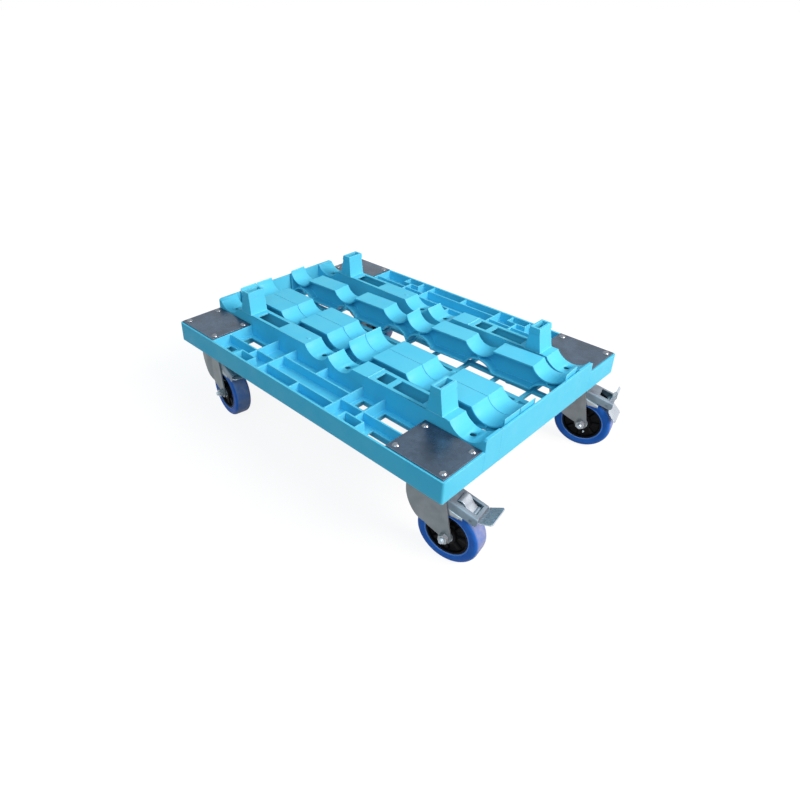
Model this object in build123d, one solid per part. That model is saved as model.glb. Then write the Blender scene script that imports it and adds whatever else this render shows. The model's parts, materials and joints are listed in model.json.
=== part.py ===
from build123d import *
import math
import os

# Truss dolly: a moulded deck on four braked swivel casters, with loose truss spacer strips.
# Millimetres. X runs along the deck, Y across it, Z up. The origin is on the floor under the deck's centre.

# Deck
deck_length = 800.0
deck_width = 600.0
deck_corner = 5.0
skirt_height = 46.0
side_wall = 5.0
end_wall = 4.5
tray_width = 113.0

# Round troughs for the truss chords, in rows across the deck
trough_radius = 37.0
crest_inset = 0.5

# Rails of the deck
rail_width = 48.0
rail_skin = 4.0
rail_end = 6.5
rail_end_corner = 6.0
rail_trough_ease = 5.0
rail_trough_rise = 4.0
chord_hole = 13.0

# Posts on the rails
post_foot = 15.5
post_length = 39.0
post_height = 54.0
post_inner_lean = 7.0
post_outer_lean = 11.0
post_side_lean = 2.0
post_band = 12.0
post_band_step = 1.2
post_wall = 4.0

# Openings and marks on the rails between the posts and the inner troughs
hand_hole_length = 80.0
hand_hole_width = 31.0
hand_hole_margin = 14.0
small_hole_length = 33.0
small_hole_margin = 11.0
step_margin = 13.0
step_width = 3.0
step_height = 1.5
pip_place = 88.0
pip_diameter = 8.0

# Ribs of the side trays: places along the deck from its centre, and across it from the skirt's outer face
rib = 3.5
rib_drop = 2.0
tray_floor = 3.5
tray_floor_depth = 25.0
cell_rib = 164.0
short_rib = 187.0
deep_rib = 140.0
centre_rib = 102.0
deep_line = 27.0
centre_outer_line = 31.0
cell_line = 51.0
centre_inner_line = 76.0

# Holes in the tray floor
inner_slot_width = 24.0
inner_slot_inset = 11.0
outer_slot_width = 20.0
outer_slot_inset = 24.0
outer_square_length = 26.0
slot_margin = 8.0
cell_hole_size = 25.0
cell_hole_margin = 9.0
drain_slot_width = 4.0
drain_slot_margin = 8.0

# Bar floor in the middle of the deck
bar_width = 12.0
bar_height = 7.7
cross_bar_width = 8.0
cross_bars_each_side = 4
peg_boss_wall = 3.0

# Loose spacer strips, which lie in five places between the rails
strip_places = 5
strip_side_gap = 13.0
strip_seam = 1.0
strip_end_gap = 2.2
strip_seat_gap = 0.3
strip_trough_half = 7.0
strip_plateau_half = 28.5
strip_skin = 4.0
strip_web = 6.0
strip_rib = 5.0
peg_place = 264.0
peg_diameter = 10.0
peg_clearance = 0.3
slipped_strip_turn = 3.4

# Corner plates and their bolts
plate_length = 128.0
plate_thickness = 3.0
plate_inset = 4.0
plate_rail_gap = 2.0
corner_margin = 2.0
bolt_spacing_x = 105.0
bolt_spacing_y = 80.0
bolt_diameter = 8.0
bolt_clearance = 0.25
bolt_head_diameter = 14.0
bolt_head_height = 4.0
bolt_end = 2.5
nut_size = 13.0
nut_height = 6.5
corner_core_x = 74.0
corner_core_y = 52.0
corner_core_radius = 8.0
corner_skin = 6.0

# Casters
caster_plate_length = 122.0
caster_plate_width = 100.0
caster_plate_thickness = 5.0
caster_plate_clearance = 0.5
race_diameter = 70.0
race_height = 15.0
swivel_gap = 0.4
king_pin_diameter = 14.0
king_pin_head = 26.0
king_pin_head_height = 5.0
running_clearance = 0.05
caster_trail = 49.0
caster_yaws = {"front": 9.1, "right": 13.7, "left": -8.1, "back": 6.0}
pressed_brakes = ["right"]

# Wheels
wheel_radius = 62.5
wheel_width = 40.0
wheel_side_gap = 3.0
tread_taper = 6.0
tyre_shoulder = 6.5
tyre_wall_taper = 1.5
hub_radius = 43.0
hub_rim = 4.0
hub_web = 22.0
hub_boss_radius = 19.0
hub_side_gap = 2.0
bearing_radius = 14.0
sleeve_radius = 9.0
axle_diameter = 12.0
axle_clearance = 0.1
axle_head_height = 7.5
axle_nut_height = 10.0
axle_hex = 19.0
axle_end = 5.0

# Forks: places along the trail from the swivel axis, or from the axle
crown_clearance = 31.4
fork_steel = 3.5
fork_front = 33.0
fork_back = 41.5
fork_crease = 20.0
fork_flare = 5.0
fork_foot_radius = 13.0
fork_waist_lead = 33.0
fork_waist_rise = 8.0
fork_bulge_lead = 68.0
fork_bulge_rise = 37.0
fork_front_drop = 14.0

# Brakes: places along the trail from the swivel axis
housing_start = 20.0
housing_end = 105.0
housing_depth = 19.0
housing_corner = 7.0
housing_steel = 2.0
housing_drop = 0.5
housing_slope = 14.75
window_start = 60.0
window_end = 99.0
window_width = 27.0
brake_pin_diameter = 6.0
pedal_pin_x = 92.0
pedal_pin_drop = 12.0
pedal_steel = 2.5
pedal_barrel_radius = 5.5
pedal_arm_width = 26.0
pedal_pad_start = 15.0
pedal_pad_length = 29.0
pedal_pad_width = 58.0
pedal_pad_corner = 7.0
pedal_pad_lift = 12.0
pedal_rise = 12.0
pedal_travel = 74.0
pedal_cam_length = 11.3
pedal_cam_width = 12.0
release_tab_length = 22.0
release_tab_width = 24.0
release_tab_turn = 146.0
shoe_pin_x = 30.0
shoe_pin_drop = 11.0
shoe_eye_radius = 5.0
shoe_width = 24.0
shoe_steel = 2.5
shoe_pad_lead = 19.0
shoe_pad_gap = 4.8
shoe_tip_lead = 1.0
shoe_tip_gap = 3.0
shoe_travel = 3.2

# Levels that follow from the sizes above
axle_height = wheel_radius
crown_bottom = 2 * wheel_radius + crown_clearance
crown_top = crown_bottom + fork_steel
deck_bottom = crown_top + swivel_gap + race_height
rim = deck_bottom + skirt_height
bar_top = deck_bottom + bar_height

# Places along the deck that follow
half_length = deck_length / 2
inner_end = half_length - end_wall
inner_row = trough_radius - crest_inset
outer_row = half_length - rail_end - inner_row
middle_row = (inner_row + outer_row) / 2
plate_x = half_length - plate_inset - plate_length / 2
corner_rib = plate_x - plate_length / 2 - corner_margin
post_start = outer_row - inner_row - post_foot - post_length
hand_hole_end = post_start - hand_hole_margin
hand_hole_start = hand_hole_end - hand_hole_length
small_hole_end = hand_hole_start - small_hole_margin
small_hole_start = small_hole_end - small_hole_length
step_place = small_hole_start - step_margin
cross_bar_pitch = half_length / (cross_bars_each_side + 1)

# Places across the deck that follow
half_width = deck_width / 2
rail_outside = half_width - tray_width
rail_inside = rail_outside - rail_width
plate_width = tray_width - plate_inset - plate_rail_gap
plate_y = half_width - plate_inset - plate_width / 2
strip_pitch = 2 * (rail_inside - strip_side_gap) / strip_places
strip_width = strip_pitch - strip_seam

# Heights of the troughs that follow
rail_trough_radius = trough_radius + rail_trough_ease
rail_trough_bottom = rim + rail_trough_rise
rail_plateau = rail_trough_bottom + rail_trough_radius - math.sqrt(rail_trough_radius**2 - inner_row**2)
strip_crest_half = strip_trough_half + trough_radius - math.sqrt(trough_radius**2 - inner_row**2)
strip_middle = bar_top + strip_seat_gap + strip_crest_half

# Widths inside a caster that follow
fork_gap = wheel_width + 2 * wheel_side_gap
fork_width = fork_gap + 2 * fork_steel
hub_boss_width = fork_gap - 2 * hub_side_gap
tyre_wall_width = wheel_width - 2 * tyre_wall_taper
tread_width = wheel_width - 2 * tread_taper

caster_places = {
    "front": (plate_x, -plate_y),
    "right": (plate_x, plate_y),
    "left": (-plate_x, -plate_y),
    "back": (-plate_x, plate_y),
}
strip_rows = {"left": -2, "middle": -1, "right": 2}
slipped_strips = ["right"]


def area(x, y):
    """A flat rectangle from its limits along X and Y."""
    (x_low, x_high), (y_low, y_high) = x, y
    middle = Pos((x_low + x_high) / 2, (y_low + y_high) / 2)
    return middle * Rectangle(x_high - x_low, y_high - y_low)


def raised(plan, low, high):
    """A plan turned into a solid between two heights."""
    return extrude(Pos(0, 0, low) * plan, high - low)


def prism(profile, depth):
    """A side view turned into a solid, evenly to both sides along Y."""
    return extrude(Plane.XZ * profile, depth / 2, both=True)


def across(centre, radius, length):
    """A cylinder along Y through a point of the side view."""
    x, z = centre
    return Pos(x, 0, z) * Rot(90, 0, 0) * Cylinder(radius, length)


def both_ends(low, high):
    """The same stretch on both sides of the deck's centre."""
    return [(low, high), (-high, -low)]


class Trough:
    """A round trough seen from the side: its centre line, radius and lowest height."""

    def __init__(self, centre, radius, bottom):
        self.centre = centre
        self.radius = radius
        self.bottom = bottom

    def reach(self, height):
        return math.sqrt(self.radius**2 - (self.bottom + self.radius - height) ** 2)

    def point(self, x):
        rise = self.radius - math.sqrt(self.radius**2 - (x - self.centre) ** 2)
        return (x, self.bottom + rise)

    def arc(self, start, end):
        return ThreePointArc(self.point(start), self.point((start + end) / 2), self.point(end))


def wave(troughs, levels, end):
    """The line over a row of troughs, level before, between and after them."""
    limits = [(one.centre + two.centre) / 2 for one, two in zip(troughs[:-1], troughs[1:])]
    limits = [-end, *limits, end]
    last = (-end, levels[0])
    edges = []
    for index, trough in enumerate(troughs):
        left = max(trough.centre - trough.reach(levels[index]), limits[index])
        right = min(trough.centre + trough.reach(levels[index + 1]), limits[index + 1])
        if left > limits[index]:
            edges.append(Line(last, trough.point(left)))
        edges.append(trough.arc(left, right))
        last = trough.point(right)
    if last[0] < end:
        edges.append(Line(last, (end, levels[-1])))
    return edges


def closed_below(edges, floor):
    """A face between a wave and a straight floor."""
    start = edges[0] @ 0
    end = edges[-1] @ 1
    base = Polyline((start.X, start.Y), (start.X, floor), (end.X, floor), (end.X, end.Y))
    return make_face(Curve() + edges + base)


def closed_by_mirror(edges):
    """A face between a wave and its own mirror image below."""
    start = edges[0] @ 0
    end = edges[-1] @ 1
    sides = [Line((point.X, point.Y), (point.X, -point.Y)) for point in (start, end)]
    return make_face(Curve() + edges + [mirror(edge, Plane.XZ) for edge in edges] + sides)


def tray_rib_plan():
    """Plan of the upright ribs in the side tray on the -Y side."""
    skirt = -half_width
    areas = []
    for place, start, end in (
        (cell_rib, skirt + deep_line, -rail_outside),
        (short_rib, skirt, skirt + deep_line + rib),
        (deep_rib, skirt, skirt + deep_line + rib),
        (centre_rib, skirt, -rail_outside),
    ):
        areas += [area(stretch, (start, end)) for stretch in both_ends(place, place + rib)]
    for line, start, end in (
        (skirt + cell_line, centre_rib, corner_rib),
        (skirt + deep_line, deep_rib, short_rib + rib),
    ):
        areas += [area(stretch, (line, line + rib)) for stretch in both_ends(start, end)]
    for line in (skirt + centre_outer_line, skirt + centre_inner_line):
        areas.append(area((-centre_rib, centre_rib), (line, line + rib)))
    for start, end in ((skirt, skirt + centre_outer_line), (skirt + centre_inner_line, -rail_outside)):
        areas.append(area((-rib / 2, rib / 2), (start, end)))
    return Sketch() + areas


def tray_hole_plan():
    """Plan of the openings in the tray floor on the -Y side."""
    inner_slot = (-rail_outside - inner_slot_inset - inner_slot_width, -rail_outside - inner_slot_inset)
    outer_slot = (-half_width + outer_slot_inset, -half_width + outer_slot_inset + outer_slot_width)
    cell_hole = (-rail_outside - cell_hole_margin - cell_hole_size, -rail_outside - cell_hole_margin)
    cell_hole_start = centre_rib + rib + cell_hole_margin
    deep_cell = (-half_width + side_wall, -half_width + deep_line)
    slot_end = corner_rib - slot_margin
    areas = [
        area((short_rib + rib + slot_margin, slot_end), outer_slot),
        area((-slot_end, -slot_end + outer_square_length), outer_slot),
    ]
    for start, end, width in (
        (cell_rib + rib + slot_margin, slot_end, inner_slot),
        (cell_hole_start, cell_hole_start + cell_hole_size, cell_hole),
        (deep_rib + rib, short_rib, deep_cell),
    ):
        areas += [area(stretch, width) for stretch in both_ends(start, end)]
    outer_drain = -half_width + side_wall + rib
    inner_drain = -half_width + centre_inner_line + 2 * rib
    for stretch in both_ends(rib / 2 + drain_slot_margin, centre_rib - drain_slot_margin):
        for start in (outer_drain, inner_drain):
            areas.append(area(stretch, (start, start + drain_slot_width)))
    return Sketch() + areas


def tray():
    """The side tray on the -Y side: skirt, corner blocks, ribs and a floor with holes."""
    outline = area((-half_length, half_length), (-half_width, -rail_outside))
    outline = fillet(outline.vertices().group_by(Axis.Y)[0], deck_corner)
    middle = area((-corner_rib, corner_rib), (-half_width + side_wall, -rail_outside))
    floor_top = rim - tray_floor_depth
    body = raised(outline - middle, deck_bottom, rim)
    body += raised(tray_rib_plan(), deck_bottom, rim - rib_drop)
    body += raised(middle - tray_hole_plan(), floor_top - tray_floor, floor_top)
    core = RectangleRounded(corner_core_x, corner_core_y, corner_core_radius)
    recess = Rectangle(
        caster_plate_length + 2 * caster_plate_clearance, caster_plate_width + 2 * caster_plate_clearance
    )
    hole = Circle(bolt_diameter / 2 + bolt_clearance)
    for x in (-plate_x, plate_x):
        body -= raised(Pos(x, -plate_y) * core, deck_bottom, rim - corner_skin)
        body -= raised(Pos(x, -plate_y) * recess, deck_bottom, deck_bottom + caster_plate_thickness)
        body -= [raised(Pos(*place) * hole, deck_bottom, rim) for place in bolt_places(x, -plate_y)]
    return body


def bolt_places(x, y):
    """The four bolts of the corner whose middle is at this point."""
    return [(x + i * bolt_spacing_x / 2, y + j * bolt_spacing_y / 2) for i in (-1, 1) for j in (-1, 1)]


def rail_profile(skin, end):
    """Side view of a rail, or of the hollow that lies one skin under its top."""
    rows = (-outer_row, -inner_row, inner_row, outer_row)
    troughs = [Trough(row, rail_trough_radius + skin, rail_trough_bottom - skin) for row in rows]
    levels = [rail_plateau - skin] * (len(rows) + 1)
    return closed_below(wave(troughs, levels, end), deck_bottom)


def post_spike(inset, top):
    """A leaning four-sided spike on the rail: the outside of a post, or its hollow when inset."""
    base = Pos(post_start + post_length / 2, 0, rail_plateau - rail_skin)
    base *= Rectangle(post_length - 2 * inset, rail_width - 2 * inset)
    top_length = post_length - post_inner_lean - post_outer_lean
    top_width = rail_width - 2 * post_side_lean
    tip = Pos(post_start + post_inner_lean + top_length / 2, 0, top)
    tip *= Rectangle(top_length - 2 * inset, top_width - 2 * inset)
    return loft([base, tip])


def post():
    """A post with a slightly wider band round its mouth."""
    top = rail_plateau + post_height
    mouth = area((0, half_length), (-rail_width, rail_width))
    band = post_spike(-post_band_step, top) & raised(mouth, top - post_band, top)
    return post_spike(0, top) + band


def rail(side):
    """A raised rail with four troughs and two hollow posts, open below. Side is -1 or 1."""
    hand_width = (-hand_hole_width / 2, hand_hole_width / 2)
    holes = [area(stretch, hand_width) for stretch in both_ends(hand_hole_start, hand_hole_end)]
    holes.append(area((small_hole_start, small_hole_end), hand_width))
    rows = (-outer_row, -inner_row, inner_row, outer_row)
    holes += [Pos(row, 0) * Circle(chord_hole / 2) for row in rows]
    body = prism(rail_profile(0, half_length), rail_width)
    body = fillet(rail_end_corners(body, side), rail_end_corner)
    body -= prism(rail_profile(rail_skin, inner_end), rail_width - 2 * rail_skin)
    body -= [raised(hole, deck_bottom, rail_plateau) for hole in holes]
    hollow = post_spike(post_wall, rail_plateau + post_height)
    body += [post(), mirror(post(), Plane.YZ)]
    body -= [hollow, mirror(hollow, Plane.YZ)]
    step = area((step_place, step_place + step_width), (-rail_width / 2, rail_width / 2))
    pip = Pos(-pip_place, 0) * Circle(pip_diameter / 2)
    body += [raised(mark, rail_plateau - rail_skin / 2, rail_plateau + step_height) for mark in (step, pip)]
    return Pos(0, side * (rail_outside - rail_width / 2), 0) * body


def rail_end_corners(body, side):
    """The top outer edges of a rail's two ends."""
    outer = body.edges().filter_by(Axis.X).group_by(Axis.Y)[-1 if side > 0 else 0]
    return [edge for edge in outer.group_by(Axis.Z)[-1] if abs(edge.center().X) > outer_row]


def bar_floor():
    """The open floor of bars between the rails, with the raised end walls."""
    between = (-rail_inside, rail_inside)
    lines = [(place - (strip_places - 1) / 2) * strip_pitch for place in range(strip_places)]
    bars = [area((-inner_end, inner_end), (y - bar_width / 2, y + bar_width / 2)) for y in lines]
    for step in range(-cross_bars_each_side, cross_bars_each_side + 1):
        x = step * cross_bar_pitch
        bars.append(area((x - cross_bar_width / 2, x + cross_bar_width / 2), between))
    bars += [area(stretch, between) for stretch in both_ends(inner_end - bar_width, inner_end)]
    pegs = [Pos(x, y) for y in lines for x in (-peg_place, peg_place)]
    hole_radius = peg_diameter / 2 + peg_clearance
    bosses = [peg * Circle(hole_radius + peg_boss_wall) for peg in pegs]
    holes = [peg * Circle(hole_radius) for peg in pegs]
    walls = [area(stretch, between) for stretch in both_ends(inner_end, half_length)]
    body = raised(Sketch() + bars + bosses - holes, deck_bottom, bar_top)
    return body + [raised(wall, deck_bottom, rail_plateau) for wall in walls]


def strip_profile(skin):
    """Side view of a strip, the same above and below, or of the space one skin inside it."""
    rows = (-outer_row, -middle_row, -inner_row, inner_row, middle_row, outer_row)
    troughs = [Trough(row, trough_radius + skin, strip_trough_half - skin) for row in rows]
    crest = strip_crest_half - skin
    plateau = strip_plateau_half - skin
    levels = [crest, plateau, plateau, crest, plateau, plateau, crest]
    return closed_by_mirror(wave(troughs, levels, inner_end - strip_end_gap - skin))


def spacer_strip(row, turn):
    """A loose truss spacer: wavy flanges above and below a ribbed web, turned about one of its two pegs."""
    rib_profile = Rectangle(strip_rib, 2 * strip_crest_half)
    rows = (-outer_row, -middle_row, -inner_row, inner_row, middle_row, outer_row)
    pocket_profile = strip_profile(strip_skin) - [Pos(x, 0) * rib_profile for x in rows]
    pocket_depth = (strip_width - strip_web) / 2
    pockets = prism(pocket_profile, pocket_depth)
    shift = (strip_web + pocket_depth) / 2
    body = prism(strip_profile(0), strip_width)
    body -= [Pos(0, shift, 0) * pockets, Pos(0, -shift, 0) * pockets]
    peg = Circle(peg_diameter / 2)
    peg_top = strip_skin / 2 - strip_plateau_half
    body += [raised(Pos(x, 0) * peg, deck_bottom - strip_middle, peg_top) for x in (-peg_place, peg_place)]
    return Pos(peg_place, row * strip_pitch, strip_middle) * Rot(0, 0, turn) * Pos(-peg_place, 0, 0) * body


def corner_plate(x, y):
    """A steel plate on a deck corner."""
    hole = Circle(bolt_diameter / 2 + bolt_clearance)
    plan = Pos(x, y) * Rectangle(plate_length, plate_width)
    plan -= [Pos(*place) * hole for place in bolt_places(x, y)]
    return raised(plan, rim, rim + plate_thickness)


def plate_bolt(x, y):
    """A domed bolt that clamps the corner plate, the deck and the caster plate together."""
    seat = rim + plate_thickness
    head_radius = bolt_head_diameter / 2
    dome_radius = (head_radius**2 + bolt_head_height**2) / (2 * bolt_head_height)
    dome = Pos(0, 0, seat + bolt_head_height - dome_radius) * Sphere(dome_radius)
    head = dome & raised(Circle(head_radius), seat, seat + bolt_head_height)
    shank = raised(Circle(bolt_diameter / 2), deck_bottom - nut_height - bolt_end, seat)
    return Pos(x, y, 0) * (head + shank)


def plate_nut(x, y):
    """A hexagon nut under the caster plate."""
    plan = RegularPolygon(nut_size / 2, 6, major_radius=False) - Circle(bolt_diameter / 2)
    return raised(Pos(x, y) * plan, deck_bottom - nut_height, deck_bottom)


def caster_plate(x, y):
    """The plate let into a deck corner from below, with the round race that the fork turns under."""
    hole = Circle(bolt_diameter / 2 + bolt_clearance)
    bore = Pos(x, y) * Circle(king_pin_diameter / 2)
    plan = Pos(x, y) * Rectangle(caster_plate_length, caster_plate_width)
    plan -= [Pos(*place) * hole for place in bolt_places(x, y)]
    race = Pos(x, y) * Circle(race_diameter / 2)
    plate = raised(plan - bore, deck_bottom, deck_bottom + caster_plate_thickness)
    return plate + raised(race - bore, deck_bottom - race_height, deck_bottom)


def king_pin(x, y):
    """The pin that carries the fork, with its head under the crown."""
    head_top = crown_bottom - swivel_gap
    pin = raised(Circle(king_pin_diameter / 2), head_top, deck_bottom + caster_plate_thickness)
    head = raised(Circle(king_pin_head / 2), head_top - king_pin_head_height, head_top)
    return Pos(x, y, 0) * (pin + head)


axle = (caster_trail, axle_height)


def fork_side_view():
    """Outline of a leg: broad at the crown, a swept leading edge and a round foot at the axle."""
    foot_front = (caster_trail - fork_foot_radius, axle_height)
    foot_low = (caster_trail, axle_height - fork_foot_radius)
    foot_back = (caster_trail + fork_foot_radius, axle_height)
    top_front = (-fork_front, crown_top)
    top_back = (fork_back, crown_top)
    brow = (-fork_front, crown_top - fork_front_drop)
    bulge = (caster_trail - fork_bulge_lead, axle_height + fork_bulge_rise)
    waist = (caster_trail - fork_waist_lead, axle_height + fork_waist_rise)
    edges = [
        Line(top_back, top_front),
        Line(top_front, brow),
        ThreePointArc(brow, bulge, waist),
        Line(waist, foot_front),
        ThreePointArc(foot_front, foot_low, foot_back),
        Line(foot_back, top_back),
    ]
    return make_face(Curve() + edges)


def fork():
    """A pressed steel fork: two creased legs under a crown that turns on the king pin."""
    inner = fork_gap / 2
    outer = fork_width / 2
    back = caster_trail + fork_foot_radius
    leg_plan = Polyline(
        (back, inner),
        (fork_crease, inner),
        (-fork_front, inner + fork_flare),
        (-fork_front, outer + fork_flare),
        (fork_crease, outer),
        (back, outer),
        close=True,
    )
    half_crown = Polyline(
        (fork_back, 0),
        (fork_back, inner),
        (fork_crease, inner),
        (-fork_front, inner + fork_flare),
        (-fork_front, 0),
        close=True,
    )
    leg = raised(make_face(leg_plan), 0, crown_top) & prism(fork_side_view(), 2 * fork_width)
    bore = Circle(king_pin_diameter / 2 + running_clearance)
    body = leg + raised(make_face(half_crown) - bore, crown_bottom, crown_top)
    body -= across(axle, axle_diameter / 2 + axle_clearance, 2 * fork_width)
    return body + mirror(body, Plane.XZ)


def hexagon_across(height, start):
    """A hexagon on the axle line that begins at this place along Y."""
    outline = RegularPolygon(axle_hex / 2, 6, major_radius=False)
    x, z = axle
    return Pos(x, start, z) * Rot(-90, 0, 0) * extrude(outline, height)


def axle_bolt():
    """The bolt through both legs, with its head on the +Y side."""
    outside = fork_width / 2
    end = -outside - axle_nut_height - axle_end
    shank = Pos(0, (outside + end) / 2, 0) * across(axle, axle_diameter / 2, outside - end)
    return shank + hexagon_across(axle_head_height, outside)


def axle_nut():
    """The nut on the bolt's end."""
    nut = hexagon_across(axle_nut_height, -fork_width / 2 - axle_nut_height)
    return nut - across(axle, axle_diameter / 2, 2 * fork_width)


def axle_sleeve():
    """The tube between the legs that the wheel's bearing turns on."""
    bore = across(axle, axle_diameter / 2 + axle_clearance, fork_gap)
    return across(axle, sleeve_radius, fork_gap) - bore


def turned(half_section):
    """A ring about the axle, from the (radius, y) points of the half of its section on the +Y side."""
    mirrored_half = [(radius, -y) for radius, y in reversed(half_section)]
    section = make_face(Polyline(*half_section, *mirrored_half, close=True))
    return Pos(caster_trail, 0, axle_height) * revolve(section, Axis.Y)


def wheel_bearing():
    """The bearing between the hub and the sleeve."""
    half = hub_boss_width / 2
    return turned([(sleeve_radius + running_clearance, half), (bearing_radius, half)])


def wheel_hub():
    """A wheel centre with a boss for the bearing, a recessed web and a rim."""
    boss = hub_boss_width / 2
    web = hub_web / 2
    wall = tyre_wall_width / 2
    rim_inside = hub_radius - hub_rim
    return turned(
        [
            (bearing_radius, boss),
            (hub_boss_radius, boss),
            (hub_boss_radius, web),
            (rim_inside, web),
            (rim_inside, wall),
            (hub_radius, wall),
        ]
    )


def wheel_tyre():
    """A tyre with a flat tread and sloping shoulders."""
    shoulder = (wheel_radius - tyre_shoulder, wheel_width / 2)
    return turned([(hub_radius, tyre_wall_width / 2), shoulder, (wheel_radius, tread_width / 2)])


def housing_top(x):
    """Height of the sloping top of the brake housing."""
    return crown_bottom - housing_drop - (x - housing_start) * math.tan(math.radians(housing_slope))


pedal_pin = (pedal_pin_x, housing_top(pedal_pin_x) - pedal_pin_drop)
shoe_pin = (shoe_pin_x, housing_top(shoe_pin_x) - shoe_pin_drop)


def brake_housing():
    """A sloping channel between the legs, open below, with a window in its top."""
    start_top = housing_top(housing_start)
    end_top = housing_top(housing_end)
    side = make_face(
        Polyline(
            (housing_start, start_top),
            (housing_end, end_top),
            (housing_end, end_top - housing_depth),
            (housing_start, start_top - housing_depth),
            close=True,
        )
    )
    end_corner = side.vertices().group_by(Axis.X)[-1].sort_by(Axis.Y)[0]
    body = prism(fillet(end_corner, housing_corner), fork_gap)
    body -= Pos(0, 0, -housing_steel) * prism(side, fork_gap - 2 * housing_steel)
    window = area((window_start, window_end), (-window_width / 2, window_width / 2))
    body -= raised(window, end_top - housing_depth, start_top)
    for pin in (pedal_pin, shoe_pin):
        body -= across(pin, brake_pin_diameter / 2, fork_gap)
    return body


def brake_pins():
    """The pedal's pin and the shoe's pin, both held in the housing."""
    return Compound([across(pin, brake_pin_diameter / 2, fork_gap) for pin in (pedal_pin, shoe_pin)])


def lever_arm(length, width):
    """A flat arm along X from the pedal's pin, level."""
    return raised(area((0, length), (-width / 2, width / 2)), -pedal_steel / 2, pedal_steel / 2)


def brake_pedal():
    """A pedal about its pin: barrel, arm and bent-up pad, a cam below and a release tab behind."""
    pad_plan = area((0, pedal_pad_length), (-pedal_pad_width / 2, pedal_pad_width / 2))
    pad_plan = chamfer(pad_plan.vertices(), pedal_pad_corner)
    pad = raised(pad_plan, -pedal_steel / 2, pedal_steel / 2)
    pad += across((0, 0), pedal_steel / 2, pedal_pad_width - 2 * pedal_pad_corner)
    cam_reach = pedal_cam_length - pedal_steel
    cam_width = (-pedal_cam_width / 2, pedal_cam_width / 2)
    cam = raised(area((0, cam_reach), cam_width), -pedal_steel, pedal_steel)
    cam += across((cam_reach, 0), pedal_steel, pedal_cam_width)
    cam_turn = 90 - pedal_travel + pedal_rise
    body = across((0, 0), pedal_barrel_radius, pedal_arm_width)
    body += lever_arm(pedal_pad_start, pedal_arm_width)
    body += Pos(pedal_pad_start, 0, 0) * Rot(0, -pedal_pad_lift, 0) * pad
    body += Rot(0, cam_turn, 0) * cam
    body += Rot(0, -release_tab_turn, 0) * lever_arm(release_tab_length, release_tab_width)
    return body - across((0, 0), brake_pin_diameter / 2 + running_clearance, pedal_arm_width)


def brake_shoe():
    """A leaf about its pin that runs over the tyre to the pedal's cam."""
    pin_x, pin_z = shoe_pin
    tyre_top = axle_height + math.sqrt(wheel_radius**2 - shoe_pad_lead**2)
    pad = (caster_trail + shoe_pad_lead - pin_x, tyre_top + shoe_pad_gap - pin_z)
    tip_top = pedal_pin[1] - pedal_barrel_radius - shoe_tip_gap
    tip = (pedal_pin_x + shoe_tip_lead - pin_x, tip_top - shoe_steel - pin_z)
    lower = [(0, -shoe_steel / 2), pad, tip]
    upper = [(x, z + shoe_steel) for x, z in reversed(lower)]
    leaf = prism(make_face(Polyline(*lower, *upper, close=True)), shoe_width)
    leaf += across((0, 0), shoe_eye_radius, shoe_width)
    return leaf - across((0, 0), brake_pin_diameter / 2 + running_clearance, shoe_width)


def hung(piece, pin, angle):
    """A piece of the brake on its pin, tipped up by an angle."""
    x, z = pin
    return Pos(x, 0, z) * Rot(0, -angle, 0) * piece


def caster_pieces(pressed):
    """The pieces of a caster that swivel, with the swivel axis upright at the origin."""
    pedal_angle = pedal_rise - pedal_travel if pressed else pedal_rise
    shoe_angle = -shoe_travel if pressed else 0
    return {
        "fork": fork(),
        "axle_bolt": axle_bolt(),
        "axle_nut": axle_nut(),
        "axle_sleeve": axle_sleeve(),
        "wheel_hub": wheel_hub(),
        "wheel_tyre": wheel_tyre(),
        "wheel_bearing": wheel_bearing(),
        "brake_housing": brake_housing(),
        "brake_pins": brake_pins(),
        "brake_shoe": hung(brake_shoe(), shoe_pin, shoe_angle),
        "brake_pedal": hung(brake_pedal(), pedal_pin, pedal_angle),
    }


def dolly():
    """Every piece of the dolly by its name."""
    pieces = {
        "deck_tray_left": tray(),
        "deck_tray_right": mirror(tray(), Plane.XZ),
        "deck_rail_left": rail(-1),
        "deck_rail_right": rail(1),
        "deck_bar_floor": bar_floor(),
    }
    for name, row in strip_rows.items():
        turn = slipped_strip_turn if name in slipped_strips else 0
        pieces[f"spacer_strip_{name}"] = spacer_strip(row, turn)
    corners = caster_places.values()
    bolts = [place for x, y in corners for place in bolt_places(x, y)]
    pieces["plate_bolts"] = Compound([plate_bolt(x, y) for x, y in bolts])
    pieces["plate_nuts"] = Compound([plate_nut(x, y) for x, y in bolts])
    pieces["caster_plates"] = Compound([caster_plate(x, y) for x, y in corners])
    pieces["king_pins"] = Compound([king_pin(x, y) for x, y in corners])
    for name, (x, y) in caster_places.items():
        pieces[f"corner_plate_{name}"] = corner_plate(x, y)
        place = Location((x, y, 0), (0, 0, caster_yaws[name]))
        for piece, solid in caster_pieces(name in pressed_brakes).items():
            pieces[f"{piece}_{name}"] = place * solid
    return pieces


os.makedirs("parts", exist_ok=True)
for node, solid in dolly().items():
    export_step(solid, f"parts/{node}.step")
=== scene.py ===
import json
import math

import bmesh
import bpy
from mathutils import Matrix, Vector


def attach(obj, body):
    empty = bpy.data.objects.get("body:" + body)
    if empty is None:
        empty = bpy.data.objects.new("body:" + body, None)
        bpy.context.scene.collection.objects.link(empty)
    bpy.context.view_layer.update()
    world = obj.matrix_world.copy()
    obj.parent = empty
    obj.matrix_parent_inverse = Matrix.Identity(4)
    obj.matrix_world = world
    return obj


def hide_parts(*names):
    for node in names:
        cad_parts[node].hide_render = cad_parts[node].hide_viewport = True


# Truss dolly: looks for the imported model. Metres. X runs along the deck, Y across it, Z up from the floor.

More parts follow.
